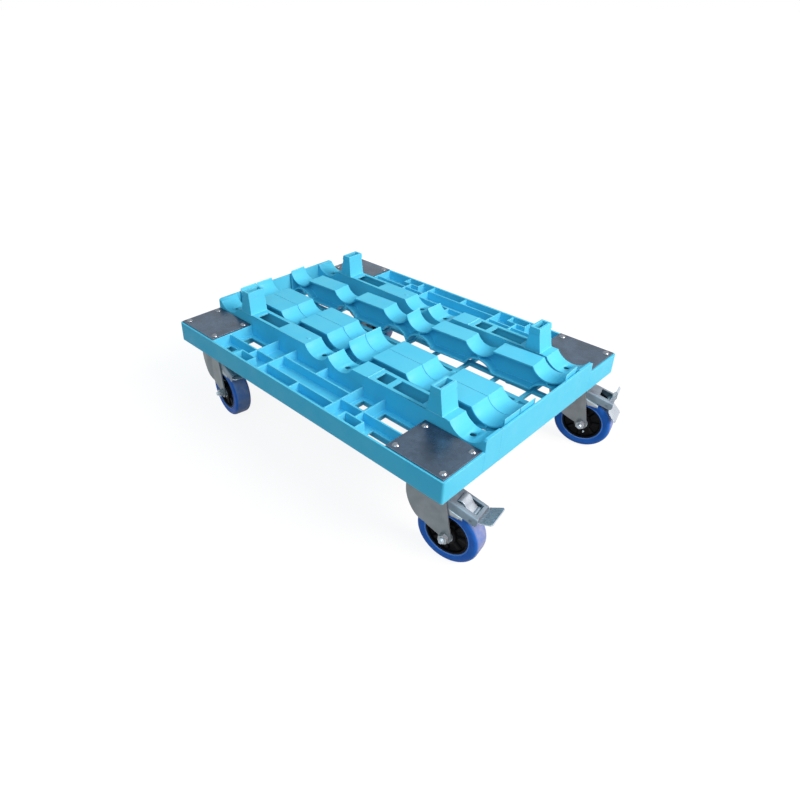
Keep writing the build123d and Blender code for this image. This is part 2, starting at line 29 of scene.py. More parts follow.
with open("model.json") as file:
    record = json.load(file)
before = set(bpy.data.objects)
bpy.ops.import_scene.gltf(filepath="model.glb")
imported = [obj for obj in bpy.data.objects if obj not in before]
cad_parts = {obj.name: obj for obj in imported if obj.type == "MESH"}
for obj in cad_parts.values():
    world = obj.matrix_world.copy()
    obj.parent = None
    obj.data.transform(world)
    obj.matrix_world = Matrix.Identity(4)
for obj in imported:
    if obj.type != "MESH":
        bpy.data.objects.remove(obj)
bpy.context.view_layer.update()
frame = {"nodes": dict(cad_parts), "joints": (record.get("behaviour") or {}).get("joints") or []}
nodes = frame["nodes"]
joints = {joint["name"]: joint for joint in frame["joints"]}
corners = ("front", "right", "left", "back")
deck_nodes = ("deck_tray_left", "deck_tray_right", "deck_rail_left", "deck_rail_right", "deck_bar_floor")
strip_nodes = ("spacer_strip_left", "spacer_strip_middle", "spacer_strip_right")
millimetre = 0.001

# View of the photograph
camera_place = (0.843, -0.939, 0.9033)
camera_yaw = math.radians(135.68)
camera_pitch = math.radians(30.53)
focal_pixels = 625
picture_pixels = 800
view_centre = (352, 360)
sensor_width = 36.0

# Studio: the point that the lamps face, the floor, how brightly it shows near and far, and the dome
dolly_middle = Vector((0, 0, 0.2))
floor_half = 40.0
floor_grey = (0.16, 0.16, 0.16)
floor_shade = (0.12, 0.12, 0.12)
glow_reach = (0.5, 1.2)
glow_level = (0.90, 1.0)
dome_colour = (0.60, 0.97, 1.14)
dome_strength = 0.34

# Caster sizes in millimetres, in a fork's own frame: X along its trail, Y along its axle, Z up from the floor
trail = 49.0
axle_height = 62.5
fork_outside = 26.5
fork_swell = 5.0
fork_steel = 3.5
housing_steel = 2.0
saddle_steel = 1.5
pin_bore = 3.2
axle_flats = 17.0
thread_radius = 5.0
thread_depth = 0.5
thread_step = 0.6
thread_start = -35.0
nipple_reach = 28.0

# Where the grease nipples stand round their wheels, in degrees
nipple_turn = {"front": 95, "right": -75, "left": 100, "back": 60}

# Brakes in degrees: a pedal's rise while it is off, and how far it and its shoe turn when it is pressed
pedal_rise = 12
pedal_travel = 74
shoe_travel = 3.2
pressed_corner = "right"

# Depth of the bump of a surface's grain, in metres
bump_depth = 0.0003

# Edges that are rounded: sharper than an angle in degrees and, on CAD nodes, longer than a length in metres
rounded_angle = 32
shortest_rounded = 0.002
weld_distance = 1e-5

# How far edges are rounded, in millimetres
rounding = {
    "deck": 0.8, "strip": 1.0, "plate": 0.6,
    "fork": 0.3, "cover": 0.4, "pedal": 0.5, "shoe": 0.4, "saddle": 0.4,
}

# Turns in degrees of the points round a pressed bend
bend_turns = (22.5, 45, 67.5, 90)

# Points round a hexagon
hexagon_steps = 72

# A skin over rings of points is either a hoop, which joins its last ring to its first, or has capped ends
hoop, capped = True, False


def srgb(red, green, blue):
    """A colour as a screen shows it, from 0 to 255, as the linear values that shaders use."""
    linear = []
    for part in (red, green, blue):
        share = part / 255
        linear.append(share / 12.92 if part < 10.3 else ((share + 0.055) / 1.055) ** 2.4)
    return tuple(linear)


def facing(place, direction):
    """Where a camera or a lamp is that looks along a direction."""
    return Matrix.Translation(place) @ direction.to_track_quat("-Z", "Y").to_matrix().to_4x4()


def make_camera():
    """A camera that sees the dolly as the photograph does."""
    camera = bpy.data.cameras.new("camera")
    camera.sensor_width = sensor_width
    camera.lens = focal_pixels / picture_pixels * sensor_width
    camera.shift_x = 0.5 - view_centre[0] / picture_pixels
    camera.shift_y = view_centre[1] / picture_pixels - 0.5
    flat = math.cos(camera_pitch)
    forward = Vector((math.cos(camera_yaw) * flat, math.sin(camera_yaw) * flat, -math.sin(camera_pitch)))
    seen_from = bpy.data.objects.new("camera", camera)
    seen_from.matrix_world = facing(camera_place, forward)
    bpy.context.scene.collection.objects.link(seen_from)
    bpy.context.scene.camera = seen_from


def make_lamp(name, place, size, power, colour):
    """A square soft lamp that faces the dolly."""
    lamp = bpy.data.lights.new(name, "AREA")
    lamp.size = size
    lamp.energy = power
    lamp.color = colour
    stand = bpy.data.objects.new(name, lamp)
    stand.matrix_world = facing(place, dolly_middle - Vector(place))
    bpy.context.scene.collection.objects.link(stand)


class Surface:
    """A procedural material being put together."""

    def __init__(self, name):
        self.material = bpy.data.materials.new(name)
        self.material.use_nodes = True
        self.tree = self.material.node_tree
        self.shader = self.tree.nodes["Principled BSDF"]
        self.place = self.node("TexCoord").outputs["Object"]

    def node(self, kind, **inputs):
        """A new node with values or other nodes' outputs in the named sockets."""
        made = self.tree.nodes.new("ShaderNode" + kind)
        for name, value in inputs.items():
            self.feed(made.inputs[name.replace("_", " ")], value)
        return made

    def feed(self, socket, value):
        """Puts a number, a colour or another node's output into a socket."""
        if isinstance(value, bpy.types.NodeSocket):
            self.tree.links.new(value, socket)
        elif socket.type == "RGBA":
            socket.default_value = (*value, 1)
        else:
            socket.default_value = value

    def set(self, **inputs):
        """Feeds the shader's own sockets."""
        for name, value in inputs.items():
            self.feed(self.shader.inputs[name.replace("_", " ")], value)

    def noise(self, scale, detail=2.0, stretch=(1, 1, 1)):
        """Cloudy values about 0.5, with about this many clouds to the metre."""
        spread = self.node("Mapping", Vector=self.place, Scale=stretch)
        return self.node("TexNoise", Vector=spread.outputs[0], Scale=scale, Detail=detail).outputs[0]

    def ramp(self, value, low, high, start=0.0, end=1.0):
        """A value's stretch from low to high, turned into one from start to end."""
        made = self.node("MapRange", Value=value)
        for index, number in enumerate((low, high, start, end)):
            made.inputs[index + 1].default_value = number
        return made.outputs[0]

    def blend(self, share, one, two):
        """One colour turning into another."""
        made = self.tree.nodes.new("ShaderNodeMix")
        made.data_type = "RGBA"
        self.feed(made.inputs[0], share)
        self.feed(made.inputs[6], one)
        self.feed(made.inputs[7], two)
        return made.outputs[2]

    def math(self, kind, one, two):
        """A number worked out from two others."""
        made = self.tree.nodes.new("ShaderNodeMath")
        made.operation = kind
        self.feed(made.inputs[0], one)
        self.feed(made.inputs[1], two)
        return made.outputs[0]

    def measure(self, kind, *vectors):
        """A number worked out from vectors, such as a length."""
        made = self.tree.nodes.new("ShaderNodeVectorMath")
        made.operation = kind
        for index, vector in enumerate(vectors):
            self.feed(made.inputs[index], vector)
        return made.outputs["Value"]

    def clouds(self, scale, detail, low=0.35, high=0.65):
        """Clouds from zero to one, with about this many to the metre."""
        return self.ramp(self.noise(scale, detail), low, high)

    def edges(self, radius, low, high):
        """One along edges, where highlights are painted, and zero on flats."""
        eased = self.node("Bevel", Radius=radius).outputs[0]
        plain = self.node("NewGeometry").outputs["Normal"]
        return self.ramp(self.measure("DOT_PRODUCT", eased, plain), 1 - low, 1 - high)

    def roughen(self, least, most, scale, detail, stretch=(1, 1, 1)):
        """Gives the shader a roughness that drifts between two values."""
        drift = self.noise(scale, detail, stretch)
        self.set(Roughness=self.ramp(drift, low=0.3, high=0.7, start=least, end=most))

    def grain(self, strength, scale, detail=2):
        """Gives the shader a fine bump."""
        height = self.noise(scale, detail)
        self.set(Normal=self.node("Bump", Strength=strength, Distance=bump_depth, Height=height).outputs[0])


def moulded_blue(name):
    """Satin sky-blue moulding: faint clouds, edges painted paler as a highlight, a fine grain."""
    surface = Surface(name)
    colour = surface.blend(surface.clouds(scale=9, detail=4), srgb(88, 202, 233), srgb(80, 198, 233))
    highlight_patches = surface.ramp(surface.noise(scale=60), low=0.3, high=0.6, start=0.2, end=0.7)
    # Paler edges, broken into patches by noise: a painted highlight.
    painted_highlight = surface.math("MULTIPLY", surface.edges(radius=0.0025, low=0.02, high=0.3), highlight_patches)
    colour = surface.blend(painted_highlight, colour, srgb(160, 232, 246))
    surface.set(Base_Color=colour, Specular_IOR_Level=0.18)
    surface.roughen(least=0.40, most=0.55, scale=35, detail=5)
    surface.grain(strength=0.1, scale=1400)
    return surface.material


def galvanised(name):
    """Dull dipped steel: crystal patches, grey clouds and edges painted bright as a highlight."""
    surface = Surface(name)
    crystals = surface.node("TexVoronoi", Vector=surface.place, Scale=130)
    tone = surface.node("SeparateColor", Color=crystals.outputs["Color"]).outputs[0]
    patches = surface.ramp(tone, low=0, high=1, start=0.1, end=0.7)
    colour = surface.blend(patches, srgb(74, 93, 112), srgb(88, 108, 130))
    dulled = surface.math("MULTIPLY", surface.clouds(scale=22, detail=6), 0.6)
    colour = surface.blend(dulled, colour, srgb(63, 72, 84))
    # Bright edges: a painted highlight.
    painted_highlight = surface.edges(radius=0.0015, low=0.02, high=0.3)
    colour = surface.blend(painted_highlight, colour, srgb(200, 200, 208))
    surface.set(Base_Color=colour, Metallic=0.8)
    surface.roughen(least=0.22, most=0.34, scale=70, detail=4)
    surface.grain(strength=0.05, scale=160, detail=3)
    return surface.material


def plated_steel(name, dark, pale, metallic, roughness, highlight_radius):
    """Pressed or turned steel with faint clouds, drawn streaks and edges painted brighter as a highlight."""
    surface = Surface(name)
    colour = surface.blend(surface.clouds(scale=40, detail=5), dark, pale)
    # Brighter edges: a painted highlight.
    painted_highlight = surface.edges(radius=highlight_radius, low=0.05, high=0.4)
    colour = surface.blend(painted_highlight, colour, srgb(205, 210, 214))
    surface.set(Base_Color=colour, Metallic=metallic)
    surface.roughen(*roughness, scale=160, detail=3, stretch=(1, 1, 0.08))
    surface.grain(strength=0.012, scale=220)
    return surface.material


def black_hub(name):
    """Black nylon with faint clouds and a fine grain."""
    surface = Surface(name)
    colour = surface.blend(surface.clouds(scale=50, detail=4, high=0.7), srgb(6, 6, 8), srgb(11, 11, 14))
    surface.set(Base_Color=colour, Specular_IOR_Level=0.08)
    surface.roughen(least=0.4, most=0.55, scale=90, detail=3)
    surface.grain(strength=0.1, scale=900)
    return surface.material


def rubber_blue(name):
    """Elastic blue rubber, with a pale ring painted beside the hub as a highlight, and a dusty grey tread."""
    highlight_ring_start, highlight_ring_end = 0.0460, 0.0452
    tread_start, tread_end = 0.0600, 0.0622
    surface = Surface(name)
    across = surface.node("Mapping", Vector=surface.place, Scale=(1, 0, 1)).outputs[0]
    radius = surface.measure("LENGTH", across)
    colour = surface.blend(surface.clouds(scale=60, detail=4), srgb(38, 108, 200), srgb(32, 98, 188))
    # The pale ring on the lip beside the hub is a painted highlight.
    ring = surface.math("MULTIPLY", surface.ramp(radius, highlight_ring_start, highlight_ring_end), 0.7)
    colour = surface.blend(ring, colour, srgb(104, 150, 226))
    patches = surface.ramp(surface.noise(scale=90, detail=5), low=0.3, high=0.6, start=0.5, end=0.9)
    dust = surface.math("MULTIPLY", surface.ramp(radius, tread_start, tread_end), patches)
    colour = surface.blend(dust, colour, srgb(134, 147, 182))
    surface.set(Base_Color=colour, Specular_IOR_Level=0.2)
    surface.roughen(least=0.42, most=0.56, scale=80, detail=3)
    surface.grain(strength=0.12, scale=700)
    return surface.material


def wheel_frame(corner):
    """Where a wheel is: X along its trail, Y along its axle, Z up, from the middle of the axle."""
    joint = joints[f"roll_{corner}"]
    axle = Vector(joint["axis"])
    if axle.y < 0:
        axle = -axle
    ahead = Vector((axle.y, -axle.x, 0))
    turn = Matrix((ahead, axle, (0, 0, 1))).transposed().to_4x4()
    return Matrix.Translation(joint["pos_m"]) @ turn


def fork_frame(corner):
    """Where a fork is: X along its trail, Z up its swivel axis, from the floor."""
    x, y, _ = joints[f"swivel_{corner}"]["pos_m"]
    return Matrix.Translation((x, y, 0)) @ wheel_frame(corner).to_3x3().to_4x4()


def finished_mesh(name, build, sharp_angle):
    """A smooth mesh from what was built, sharp where faces meet at more than an angle."""
    mesh = bpy.data.meshes.new(name)
    build.to_mesh(mesh)
    build.free()
    mesh.shade_smooth()
    mesh.set_sharp_from_angle(angle=math.radians(sharp_angle))
    return mesh


def skinned(name, *groups, sharp_angle):
    """Skins over groups of rings of points, in millimetres, each group with how it ends."""
    build = bmesh.new()
    for rings, ending in groups:
        rows = [[build.verts.new(Vector(point) * millimetre) for point in ring] for ring in rings]
        pairs = list(zip(rows[:-1], rows[1:]))
        if ending == hoop:
            pairs.append((rows[-1], rows[0]))
        else:
            build.faces.new(rows[0])
            build.faces.new(rows[-1])
        for one, two in pairs:
            count = len(one)
            for index in range(count):
                after = (index + 1) % count
                build.faces.new((one[index], one[after], two[after], two[index]))
    bmesh.ops.recalc_face_normals(build, faces=build.faces)
    return finished_mesh(name, build, sharp_angle)


def folded_sheet(name, rows, left_out):
    """A sheet over rows of points, in millimetres, facing up, with no face where left_out says so."""
    build = bmesh.new()
    grid = []
    for row in rows:
        grid.append([None if point is None else build.verts.new(Vector(point) * millimetre) for point in row])
    for one, two in zip(grid[:-1], grid[1:]):
        for index in range(len(one) - 1):
            around = (one[index], two[index], two[index + 1], one[index + 1])
            if None in around:
                continue
            middle = sum((vertex.co for vertex in around), Vector()) / (len(around) * millimetre)
            if not left_out(middle.x, middle.y):
                build.faces.new(around)
    bmesh.ops.recalc_face_normals(build, faces=build.faces)
    highest = max(build.faces, key=lambda face: face.calc_center_median().z)
    if highest.normal.z < 0:
        bmesh.ops.reverse_faces(build, faces=build.faces)
    return finished_mesh(name, build, sharp_angle=35)


def mirrored_row(x, half):
    """A row of points across a sheet, from (y, z) points on its +Y side."""
    return [(x, y, z) for y, z in half] + [(x, -y, z) for y, z in reversed(half)]


def bend_points(outside, height, radius):
    """Points (y, z) round a bend from an upright wall, which ends at a height, to a level top."""
    points = []
    for turn in bend_turns:
        angle = math.radians(turn)
        points.append((outside - radius + radius * math.cos(angle), height + radius * math.sin(angle)))
    return points


def swept_strip(path):
    """Rings along a bent strip, from (x, z, width, thickness) points along its middle."""
    rings = []
    for index, (x, z, width, thickness) in enumerate(path):
        before = path[max(index - 1, 0)]
        after = path[min(index + 1, len(path) - 1)]
        along = Vector((after[0] - before[0], after[1] - before[1])).normalized() * thickness / 2
        upper, lower = (x - along.y, z + along.x), (x + along.y, z - along.x)
        ring = [(upper[0], side * width / 2, upper[1]) for side in (1, -1)]
        ring += [(lower[0], side * width / 2, lower[1]) for side in (-1, 1)]
        rings.append(ring)
    return rings


def turned_rings(profile, steps, ribs=0):
    """Rings about Y from (radius, y, lift) points; ribs raise the points that have a lift."""
    rib_share, rib_steepness = 0.3, 2.5
    rings = []
    for radius, y, lift in profile:
        ring = []
        for index in range(steps):
            angle = 2 * math.pi * index / steps
            wave = (1 + math.cos(ribs * angle)) / 2 if ribs else 0
            rise = min(1.0, max(0.0, (wave - 1 + rib_share) / rib_share * rib_steepness))
            ring.append((radius * math.cos(angle), y + lift * rise, radius * math.sin(angle)))
        rings.append(ring)
    return rings


def lathed(profile, steps=96):
    """Rings about Y from a plain (radius, y) profile."""
    return turned_rings([(radius, y, 0) for radius, y in profile], steps)


def both_sides(half):
    """A profile along Y from its half on the +Y side, given as (radius, y) or (radius, y, lift)."""
    full = [(*point, 0)[:3] for point in half]
    return full + [(radius, -y, -lift) for radius, y, lift in reversed(full)]


def sleeve_rings(radius, half_length, chamfer, steps):
    """A sleeve along Y that turns on a brake pin."""
    half = [(pin_bore, half_length), (radius - chamfer, half_length), (radius, half_length - chamfer)]
    return turned_rings(both_sides(half), steps)


def hexagon_rings(flats, start, end):
    """A hexagon along Y with a chamfered far end."""
    chamfer, face_share = math.radians(30), 0.97
    apothem = flats / 2
    slope = math.tan(chamfer)
    ahead = 1 if end > start else -1
    wall_low, wall_high = [], []
    for index in range(hexagon_steps):
        angle = 2 * math.pi * index / hexagon_steps
        off_flat = (angle + math.pi / 6) % (math.pi / 3) - math.pi / 6
        reach = apothem / math.cos(off_flat)
        drop = (reach - apothem) * slope
        x, z = reach * math.cos(angle), reach * math.sin(angle)
        wall_low.append((x, start, z))
        wall_high.append((x, end - ahead * drop, z))
    return [wall_low, wall_high, *lathed([(apothem * face_share, end)], hexagon_steps)]


def bored(rings, hole):
    """A hexagon's rings, closed by a round bore through them."""
    end, start = rings[-1][0][1], rings[0][0][1]
    return rings + lathed([(hole, end), (hole, start)], hexagon_steps)


def fork_mesh():
    """A fork pressed from one sheet: creased legs with round feet, bent into a crown round the swivel pin."""
    sweep_x, sweep_z, sweep_radius = 48.3, 145.1, 81.3
    waist, waist_height, shin_slope = 16.0, 70.5, 0.4
    shin = (20.0, 25.0, 30.0)
    foot_front, foot_radius = 36.0, 13.0
    crown_back, shoulder, bend = 41.5, 154.4, 5.5
    rear_slope = (shoulder + bend - axle_height) / (trail + foot_radius - crown_back)
    pin_gap = 8.0
    crease, swell_run = 6.0, 22.0
    sweep_turns, foot_turns = range(0, 65, 4), range(0, 169, 14)
    sweep = [sweep_x - sweep_radius * math.cos(math.radians(turn)) for turn in sweep_turns]
    foot = [trail - foot_radius * math.cos(math.radians(turn)) for turn in foot_turns]
    stations = sorted({*sweep, -pin_gap, pin_gap, crease, waist, *shin, *foot, crown_back})

    def lower_edge(x):
        """A round sweep in front, a slope behind the waist and a round foot."""
        if x < waist:
            return sweep_z - math.sqrt(max(sweep_radius**2 - (x - sweep_x) ** 2, 0))
        if x < foot_front:
            return waist_height - shin_slope * (x - waist)
        return axle_height - math.sqrt(max(foot_radius**2 - (x - trail) ** 2, 0))

    def half_width(x):
        """The legs run straight at the back and swell out in front of a crease."""
        lead = min(max((crease - x) / swell_run, 0.0), 1.0)
        return fork_outside + fork_swell * (1 - (1 - lead) ** 2)

    rows = []
    for x in stations:
        side = half_width(x)
        upper = min(shoulder, shoulder + bend - (x - crown_back) * rear_slope)
        half = [(side, lower_edge(x)), (side, upper), *bend_points(side, shoulder, bend)]
        half.append((pin_gap, shoulder + bend))
        section = mirrored_row(x, half)
        if x > crown_back:
            section[2:-2] = [None] * (len(section) - 4)
        rows.append(section)
    return folded_sheet("fork", rows, lambda x, y: abs(x) < pin_gap and abs(y) < pin_gap)


def cover_mesh():
    """A brake housing pressed from one sheet: sloping top, window, wide bends and round end corners."""
    root, root_top, slope = 20.0, 155.9, math.tan(math.radians(14.75))
    half, bend, depth = 23.0, 5.0, 19.0
    window_start, window_end, window_half = 73.0, 99.0, 14.0
    between = (46.0, 86.0)
    end_lift = {101.0: 1.2, 103.2: 4.0, 104.6: 7.0, 105.0: 9.5}
    rows = []
    for x in sorted({root, window_start, window_end, *between, *end_lift}):
        top = root_top - (x - root) * slope
        section = [(half, top - depth + end_lift.get(x, 0)), (half, top - bend)]
        section += bend_points(half, top - bend, bend)
        section.append((window_half, top))
        rows.append(mirrored_row(x, section))
    return folded_sheet(
        "brake_cover", rows, lambda x, y: window_start < x < window_end and abs(y) < window_half
    )


def polar(reach, turn):
    """A point (x, z) at a reach from a pin, turned up from level by degrees."""
    angle = math.radians(turn)
    return reach * math.cos(angle), reach * math.sin(angle)


def pedal_mesh():
    """A brake pedal about its pin, level: flared pad, arm, barrel, cam, and a toe lever with a rolled end."""
    steel, lever_width, cam_width = 2.5, 26.0, 12.0
    arm_end, knee_length, knee_turn = 15.0, 8.0, 9
    pad_turn, cam_turn = 13.2, -28
    knee = Vector((arm_end, 0.0)) + Vector(polar(knee_length, knee_turn))
    plate = []
    for length, width in ((21.0, 46.0), (17.5, 52.0), (0.0, 49.0)):
        plate.append((*(knee + Vector(polar(length, pad_turn))), width, steel))
    plate += [(arm_end, 0.0, 46.0, steel), (12.5, 0.0, 38.0, steel), (2.0, 0.0, 26.0, steel)]
    lever_line = (
        (4.0, 133, 3.0), (12.0, 132.5, steel), (18.0, 130, steel), (22.5, 124.5, steel), (26.5, 122, steel),
        (30.5, 122.5, steel), (34.0, 125.5, steel), (36.2, 129.0, steel), (37.0, 131.6, steel),
        (36.9, 132.7, 1.6),
    )
    lever = [(*polar(reach, turn), lever_width, thickness) for reach, turn, thickness in lever_line]
    cam_line = ((2.0, 5.0), (8.8, 5.0), (10.4, 3.6), (11.2, 1.2))
    cam = [(*polar(reach, cam_turn), cam_width, thickness) for reach, thickness in cam_line]
    strips = [(swept_strip(path), capped) for path in (plate, lever, cam)]
    barrel = sleeve_rings(radius=5.5, half_length=13.0, chamfer=0.6, steps=48)
    return skinned("brake_pedal", *strips, (barrel, hoop), sharp_angle=30)


def shoe_mesh():
    """A brake shoe's spring leaf about its pin, level: an eye, and a leaf with turned-up sides by the cam."""
    steel, narrow, wide = 2.3, 24.0, 35.0
    side_steel, side_height = 1.6, 6.0
    leaf_line = ((1.0, -0.4, narrow), (34.0, -12.8, narrow), (40.0, -15.2, wide), (63.0, -27.0, wide))
    leaf = swept_strip([(*point, steel) for point in leaf_line])
    side_line = ((40.0, -10.85), (56.5, -19.32))
    side = swept_strip([(*point, side_steel, side_height) for point in side_line])
    sides = []
    for shift in ((side_steel - wide) / 2, (wide - side_steel) / 2):
        sides.append(([[(x, y + shift, z) for x, y, z in ring] for ring in side], capped))
    eye = sleeve_rings(radius=5.0, half_length=12.0, chamfer=0.5, steps=40)
    return skinned("brake_shoe", (leaf, capped), *sides, (eye, hoop), sharp_angle=30)


def saddle_mesh():
    """The pressed saddle under a shoe's leaf, whose bulged cheeks hang beside the tyre."""
    leaf_start, leaf_slope, leaf_bend, bend_slope = 0.25, 0.374, 38.0, 0.14
    cheek_start, bulge_run = 20.0, 5.0
    shoulder_start, shoulder_slope = -13.4, 0.268
    rim_start, rim_slope = -29.4, 0.04
    rows = []
    for x in (15.0, cheek_start, 25.0, 30.0, leaf_bend, 44.0, 47.5):
        leaf = -leaf_slope * x + leaf_start - bend_slope * max(x - leaf_bend, 0)
        shoulder = shoulder_start - shoulder_slope * (x - cheek_start)
        rim = rim_start + rim_slope * (x - cheek_start)
        bulge = min(max((x - cheek_start) / bulge_run, 0.0), 1.0)
        half = [
            (21.9, rim),
            (22.3 + 0.9 * bulge, rim + 2.6),
            (22.4 + 1.6 * bulge, (rim + shoulder) / 2),
            (22.2 + 1.0 * bulge, shoulder - 2.2),
            (21.2, shoulder - 0.2),
            (18.5, (shoulder + leaf) / 2 + 0.9),
            (11.0, leaf),
        ]
        rows.append(mirrored_row(x, half))
    return folded_sheet("shoe_saddle", rows, lambda x, y: False)


def add_piece(name, mesh, material, place, body, slot, *stands_for):
    """Puts a mesh into the model, riding on a body, in place of CAD nodes where some are named."""
    if not mesh.materials:
        mesh.materials.append(material)
    piece = bpy.data.objects.new(name, mesh)
    piece.matrix_world = place
    bpy.context.scene.collection.objects.link(piece)
    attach(piece, body)
    if stands_for:
        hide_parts(*stands_for)
    return piece


def thicken(piece, steel):
    """Gives a sheet the thickness of its steel, inwards, in millimetres."""
    solid = piece.modifiers.new("steel", "SOLIDIFY")
    solid.thickness = steel * millimetre
    solid.offset = -1
    solid.use_even_offset = True


def round_edges(piece, width):
    """Rounds a piece's sharp edges by a width in millimetres."""
    rounded = piece.modifiers.new("round_over", "BEVEL")
    rounded.width = width * millimetre
    rounded.segments = 2
    rounded.limit_method = "ANGLE"
    rounded.angle_limit = math.radians(rounded_angle)
    rounded.use_clamp_overlap = False
    rounded.harden_normals = True
    return rounded


def edge_chooser():
    """Nodes that mark a mesh's sharp edges, except the short ones round small holes."""
    group = bpy.data.node_groups.new("edge_chooser", "GeometryNodeTree")
    for way in ("INPUT", "OUTPUT"):
        group.interface.new_socket("Geometry", in_out=way, socket_type="NodeSocketGeometry")
    given, result = group.nodes.new("NodeGroupInput"), group.nodes.new("NodeGroupOutput")
    ends = group.nodes.new("GeometryNodeInputMeshEdgeVertices")
    span = group.nodes.new("ShaderNodeVectorMath")
    span.operation = "DISTANCE"
    angle = group.nodes.new("GeometryNodeInputMeshEdgeAngle")
    both = group.nodes.new("ShaderNodeMath")
    both.operation = "MULTIPLY"
    store = group.nodes.new("GeometryNodeStoreNamedAttribute")
    store.domain = "EDGE"
    store.inputs["Name"].default_value = "bevel_weight_edge"
    group.links.new(ends.outputs["Position 1"], span.inputs[0])
    group.links.new(ends.outputs["Position 2"], span.inputs[1])
    measures = ((span.outputs["Value"], shortest_rounded), (angle.outputs[0], math.radians(rounded_angle)))
    for index, (measure, least) in enumerate(measures):
        more = group.nodes.new("ShaderNodeMath")
        more.operation = "GREATER_THAN"
        more.inputs[1].default_value = least
        group.links.new(measure, more.inputs[0])
        group.links.new(more.outputs[0], both.inputs[index])
    group.links.new(both.outputs[0], store.inputs["Value"])
    group.links.new(given.outputs[0], store.inputs["Geometry"])
    group.links.new(store.outputs[0], result.inputs[0])
    return group


def make_floor():
    """A pale floor that the picture shows as white, with the object's faint shadow."""
    mesh = bpy.data.meshes.new("floor")
    outline = [(x * floor_half, y * floor_half, 0) for x, y in ((-1, -1), (1, -1), (1, 1), (-1, 1))]
    mesh.from_pydata(outline, [], [(0, 1, 2, 3)])
    floor = bpy.data.objects.new("floor", mesh)
    bpy.context.scene.collection.objects.link(floor)
    surface = Surface("floor_white")
    tree = surface.tree
    surface.set(Base_Color=floor_grey, Roughness=0.9)
    level = surface.ramp(surface.measure("LENGTH", surface.place), *glow_reach, *glow_level)
    shown = surface.node("Emission", Color=(1, 1, 1), Strength=level)
    shade = surface.node("BsdfDiffuse", Color=floor_shade)
    both = surface.node("AddShader")
    tree.links.new(shown.outputs[0], both.inputs[0])
    tree.links.new(shade.outputs[0], both.inputs[1])
    path = surface.node("LightPath")
    seen = surface.math("MAXIMUM", path.outputs["Is Camera Ray"], path.outputs["Is Glossy Ray"])
    seen = surface.math("MAXIMUM", seen, path.outputs["Is Transmission Ray"])
    mixed = surface.node("MixShader", Fac=seen)
    tree.links.new(surface.shader.outputs[0], mixed.inputs[1])
    tree.links.new(both.outputs[0], mixed.inputs[2])
    tree.links.new(mixed.outputs[0], tree.nodes["Material Output"].inputs["Surface"])
    mesh.materials.append(surface.material)


def make_world():
    """An even, cool dome, shown as white to the camera and in reflections."""
    world = bpy.data.worlds.new("studio")
    world.use_nodes = True
    bpy.context.scene.world = world
    tree = world.node_tree
    dome = tree.nodes["Background"]
    dome.inputs["Color"].default_value = (*dome_colour, 1)
    dome.inputs["Strength"].default_value = dome_strength
    white = tree.nodes.new("ShaderNodeBackground")
    white.inputs["Color"].default_value = (1, 1, 1, 1)
    path = tree.nodes.new("ShaderNodeLightPath")
    shown = path.outputs["Is Camera Ray"]
    for kind in ("Is Glossy Ray", "Is Transmission Ray"):
        either = tree.nodes.new("ShaderNodeMath")
        either.operation = "MAXIMUM"
        tree.links.new(shown, either.inputs[0])
        tree.links.new(path.outputs[kind], either.inputs[1])
        shown = either.outputs[0]
    mixed = tree.nodes.new("ShaderNodeMixShader")
    tree.links.new(shown, mixed.inputs[0])
    tree.links.new(dome.outputs[0], mixed.inputs[1])
    tree.links.new(white.outputs[0], mixed.inputs[2])
    tree.links.new(mixed.outputs[0], tree.nodes["World Output"].inputs["Surface"])


def paint(node, material):
    """Gives a CAD node one material in place of its own."""
    mesh = nodes[node].data
    mesh.materials.clear()
    mesh.materials.append(material)


def ease_edges(node, width, chooser):
    """Rounds a CAD node's chosen edges, on top of its own mesh."""
    weld = nodes[node].modifiers.new("weld", "WELD")
    weld.merge_threshold = weld_distance
    nodes[node].modifiers.new("choose_edges", "NODES").node_group = chooser
    round_edges(nodes[node], width).limit_method = "WEIGHT"


# Finishes
deck_finish = moulded_blue("deck_blue")
plate_finish = galvanised("galvanised")
fork_finish = plated_steel(
    "zinc", dark=srgb(126, 132, 135), pale=srgb(140, 146, 150),
    metallic=0.4, roughness=(0.34, 0.46), highlight_radius=0.0008,
)
housing_finish = plated_steel(
    "housing_zinc", dark=srgb(114, 130, 142), pale=srgb(132, 150, 163),
    metallic=0.4, roughness=(0.28, 0.4), highlight_radius=0.0006,
)
bright_finish = plated_steel(
    "bright_zinc", dark=srgb(168, 183, 194), pale=srgb(186, 200, 210),
    metallic=0.55, roughness=(0.24, 0.34), highlight_radius=0.0006,
)
bolt_finish = plated_steel(
    "bolt_zinc", dark=srgb(112, 120, 128), pale=srgb(132, 140, 148),
    metallic=0.85, roughness=(0.16, 0.22), highlight_radius=0.0004,
)
plated_finish = plated_steel(
    "plated_zinc", dark=srgb(156, 164, 170), pale=srgb(174, 182, 188),
    metallic=0.6, roughness=(0.26, 0.36), highlight_radius=0.0006,
)
# A dark leaf, so that the window in the housing looks dark inside: painted shade.
painted_shade_leaf_finish = plated_steel(
    "spring_steel_painted_shade", dark=srgb(44, 48, 53), pale=srgb(56, 60, 66),
    metallic=0.6, roughness=(0.34, 0.46), highlight_radius=0.0006,
)
hub_finish = black_hub("hub_black")
tyre_finish = rubber_blue("tyre_blue")

# CAD nodes that stay
for name in (*deck_nodes, *strip_nodes):
    paint(name, deck_finish)
paint("plate_bolts", bolt_finish)
for name in ("plate_nuts", "king_pins"):
    paint(name, bright_finish)
paint("caster_plates", fork_finish)
for corner in corners:
    paint(f"corner_plate_{corner}", plate_finish)
    paint(f"brake_pins_{corner}", housing_finish)
    for part in ("axle_sleeve", "wheel_bearing"):
        paint(f"{part}_{corner}", bright_finish)

